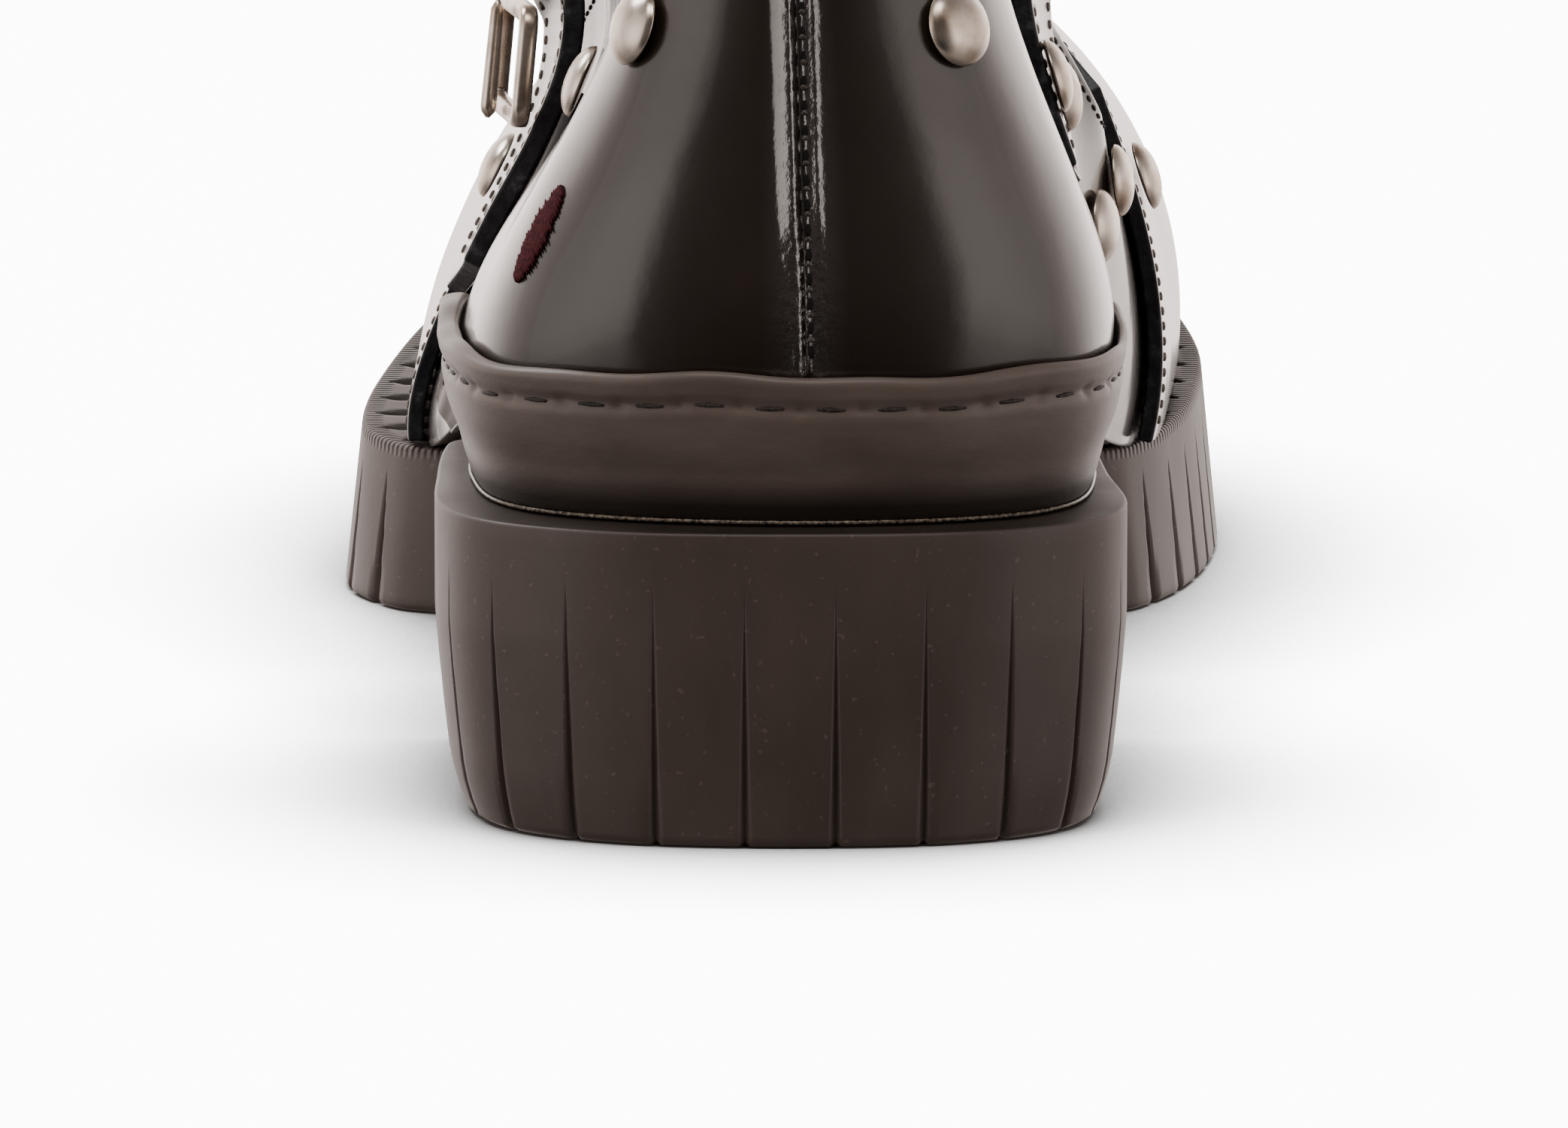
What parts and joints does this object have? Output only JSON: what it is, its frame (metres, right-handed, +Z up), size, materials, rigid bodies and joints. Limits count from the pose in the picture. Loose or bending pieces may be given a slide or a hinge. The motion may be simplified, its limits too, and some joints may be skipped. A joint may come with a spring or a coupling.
{
  "type": "leather shoe",
  "caption": "low black leather strap shoe, left, with a ribbed platform sole and block heel, cupped heel band, side buckle and domed metal studs",
  "frame": {"origin": "middle of the footprint, on the plane that heel and forefoot stand on", "axes": "+Y from heel to toe, +X toward the inner side of the foot, +Z up"},
  "size_m": [0.1006, 0.284, 0.101],
  "materials": {
    "polished_leather": "smooth polished",
    "band_leather": "matt",
    "sole_rubber": "matt moulded",
    "lining_leather": "matt lining",
    "satin_nickel": "satin nickel plate"
  },
  "bodies": {
    "root": {"outsole": "sole_rubber", "heel_block": "sole_rubber", "heel_band": "band_leather", "insole": "lining_leather", "upper": "polished_leather", "vamp": "polished_leather", "instep_strap": "polished_leather", "buckle_tab": "polished_leather", "buckle_frame": "satin_nickel", "buckle_prong": "satin_nickel", "stud_01": "satin_nickel", "stud_02": "satin_nickel", "stud_03": "satin_nickel", "stud_04": "satin_nickel", "stud_05": "satin_nickel", "stud_06": "satin_nickel", "stud_07": "satin_nickel", "stud_08": "satin_nickel", "stud_09": "satin_nickel", "stud_10": "satin_nickel", "stud_11": "satin_nickel"}
  },
  "joints": []
}
